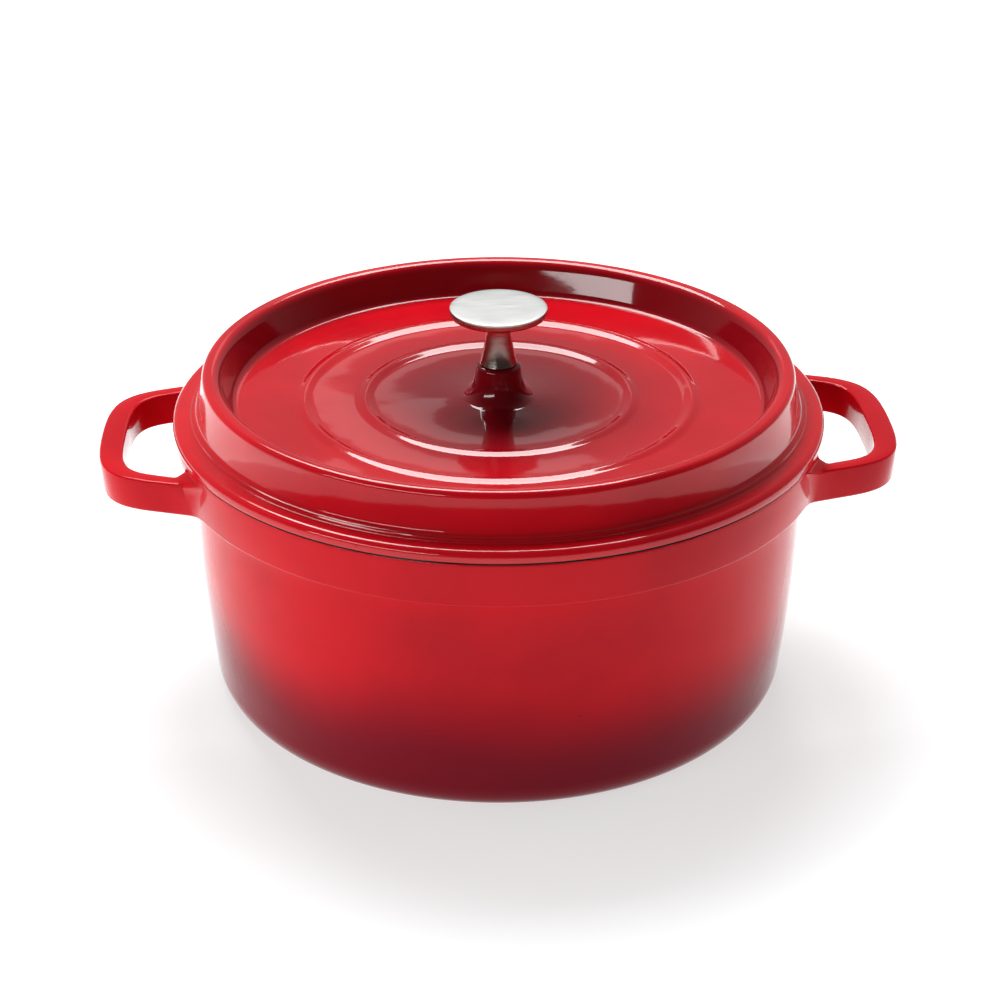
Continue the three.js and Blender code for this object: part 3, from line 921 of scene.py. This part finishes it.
def under_lid(face):
    centre = face.calc_center_median()
    if centre.z < LID_SEAT + 0.1 * MM and radius_of(centre) < LID_RADIUS - 1 * MM:
        return True
    if face.normal.z < -0.2 and radius_of(centre) < LID_RADIUS - 1 * MM:
        return True
    hollow = LIP - RIM_LAND - 5 * MM
    return centre.z < LID_UNDERSIDE + 0.6 * MM and radius_of(centre) < hollow


def at_seam(face):
    """The thin dark line that pot and lid share where the glaze stops short."""
    centre = face.calc_center_median()
    return radius_of(centre) > LIP - 2 * MM and SEAM - 0.75 * MM < centre.z < LID_SEAT + 0.45 * MM


def under_disc(face):
    """The knob disc's turned edge and underside."""
    centre = face.calc_center_median()
    return centre.z < HEAD_HIGH.z - 0.6 * MM


def make_pieces():
    red_pot = red_enamel("red_enamel_pot", pot_shade, BURGUNDY, POT_GLOSS)
    red_lid = red_enamel("red_enamel_lid", lid_shade, LID_HEART, LID_GLOSS)
    black = black_enamel("black_enamel")
    iron = bare_iron("oiled_iron")
    brushed = steel(
        "brushed_steel", (0.52, 0.525, 0.515), (0.42, 0.425, 0.415), 0.36, straight_lines, 2600.0, 0.25)
    polished = steel(
        "polished_steel", (0.52, 0.47, 0.42), (0.38, 0.335, 0.295), 0.17, turned_lines, 2200.0, 0.12)
    zinc = steel(
        "fixing_steel", (0.56, 0.56, 0.55), (0.40, 0.40, 0.40), 0.36, turned_lines, 1600.0, 0.2)
    fibre_black = fibre("gasket_fibre")

    pot = make_pot()
    coat(
        pot, (red_pot, None), (black, inside_pot), (iron, on_land), (black, at_seam), (black, under_pot))
    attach(pot, "pot")
    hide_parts("pot_body", "handle_right", "handle_left")

    lid = make_lid()
    coat(lid, (red_lid, None), (black, under_lid), (black, at_seam))
    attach(lid, "lid")
    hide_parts("lid")

    head = make_knob_head()
    coat(head, (brushed, None), (polished, under_disc))
    stem = make_stem()
    coat(stem, (polished, None))
    gasket = make_ring(
        "fibre_gasket", SCREW_HOLE, GASKET_HIGH.x, GASKET_LOW.z, GASKET_HIGH.z, 0.12 * MM)
    coat(gasket, (fibre_black, None))
    washer = make_ring("plain_washer", SCREW_HOLE, FLAT_HIGH.x, FLAT_LOW.z, FLAT_HIGH.z, 0.15 * MM)
    coat(washer, (zinc, None))
    spring = make_spring_washer()
    coat(spring, (zinc, None))
    screw = make_screw()
    coat(screw, (zinc, None))
    for piece, node, slot in (
            (head, "knob_head", "brushed_steel"),
            (stem, "knob_stem", "polished_steel"),
            (gasket, "knob_gasket", "gasket_fibre"),
            (washer, "flat_washer", "fixing_steel"),
            (spring, "spring_washer", "fixing_steel"),
            (screw, "knob_screw", "fixing_steel")):
        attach(piece, "knob")
        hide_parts(node)


# ---------------------------------------------------------------- the studio

VIEW_AIM = Vector((0, 0, 0.0763))
VIEW_DISTANCE = 1.0125
VIEW_HEIGHT = math.radians(26.79)
VIEW_TURN = math.radians(-2.8)


def towards_point(place, aim):
    return (aim - place).to_track_quat("-Z", "Y").to_euler()


def set_camera():
    data = bpy.data.cameras.new("camera")
    camera = bpy.data.objects.new("camera", data)
    bpy.context.scene.collection.objects.link(camera)
    out = Vector((
        math.sin(VIEW_TURN) * math.cos(VIEW_HEIGHT),
        -math.cos(VIEW_TURN) * math.cos(VIEW_HEIGHT),
        math.sin(VIEW_HEIGHT)))
    camera.location = VIEW_AIM + out * VIEW_DISTANCE
    camera.rotation_euler = towards_point(camera.location, VIEW_AIM)
    data.sensor_width = 36
    data.lens = 85.65
    data.shift_x = 0.0015
    data.clip_start = 0.01
    bpy.context.scene.camera = camera


def soft_box(name, place, aim, width, height, watts, colour=(1, 1, 1)):
    data = bpy.data.lights.new(name, "AREA")
    data.shape = "RECTANGLE"
    data.size, data.size_y = width, height
    data.energy = watts
    data.color = colour
    light = bpy.data.objects.new(name, data)
    bpy.context.scene.collection.objects.link(light)
    light.location = place
    light.rotation_euler = towards_point(Vector(place), Vector(aim))
    return light


def set_studio():
    bpy.ops.object.select_all(action="DESELECT")
    bpy.ops.mesh.primitive_plane_add(size=12)
    floor = bpy.context.object
    floor.name = "studio_floor"
    material, tree, shader = blank("studio_white")
    place = add(tree, "TexCoord").outputs["Object"]
    # The floor's faint cool tint is painted to offset the red light the pot throws on it.
    tree.links.new(
        blend_colour(tree, noise(tree, place, 3), (0.43, 0.455, 0.46), (0.45, 0.475, 0.48)),
        shader.inputs["Base Color"])
    # Painted light: the floor glows, less near the pot as painted shade round it and more further out.
    away = add(tree, "VectorMath", {0: place}, operation="LENGTH").outputs["Value"]
    tree.links.new(spread(tree, away, 0.13, 0.40, 0.60, 0.98), shader.inputs["Emission Strength"])
    shader.inputs["Emission Color"].default_value = (1, 1, 1, 1)
    shader.inputs["Roughness"].default_value = 0.7
    shader.inputs["Specular IOR Level"].default_value = 0.2
    floor.data.materials.append(material)

    world = bpy.data.worlds.new("studio")
    bpy.context.scene.world = world
    world.use_nodes = True
    tree = world.node_tree
    tree.nodes.clear()
    direction = add(tree, "TexCoord").outputs["Generated"]
    parts = add(tree, "SeparateXYZ", {"Vector": direction})
    back = spread(tree, parts.outputs["Y"], -0.5, 0.8, 0.04, 0.31)
    sky = add(tree, "Background", {"Color": (1, 1, 1, 1), "Strength": back})
    output = add(tree, "OutputWorld")
    tree.links.new(sky.outputs[0], output.inputs["Surface"])

    pot_middle = (0, 0, 0.09)
    soft_box("top_box", (-0.10, 0.60, 1.15), pot_middle, 0.9, 0.6, 22)
    left_box = soft_box("left_box", (-1.00, 0.10, 0.16), pot_middle, 0.8, 0.28, 4.4)
    right_box = soft_box("right_box", (1.00, 0.20, 0.16), pot_middle, 0.7, 0.28, 3.4)
    for fill in (left_box, right_box):
        fill.visible_glossy = False
    soft_box("window_box", (-0.72, -0.76, 0.44), (0, 0, 0.13), 0.85, 0.11, 3.4)
    soft_box("back_box", (0.0, 0.75, 0.50), (0, 0, 0.12), 0.20, 0.08, 0.03)
    view = bpy.context.scene.view_settings
    view.view_transform = "Standard"


set_camera()
make_pieces()
set_studio()

bpy.context.view_layer.update()
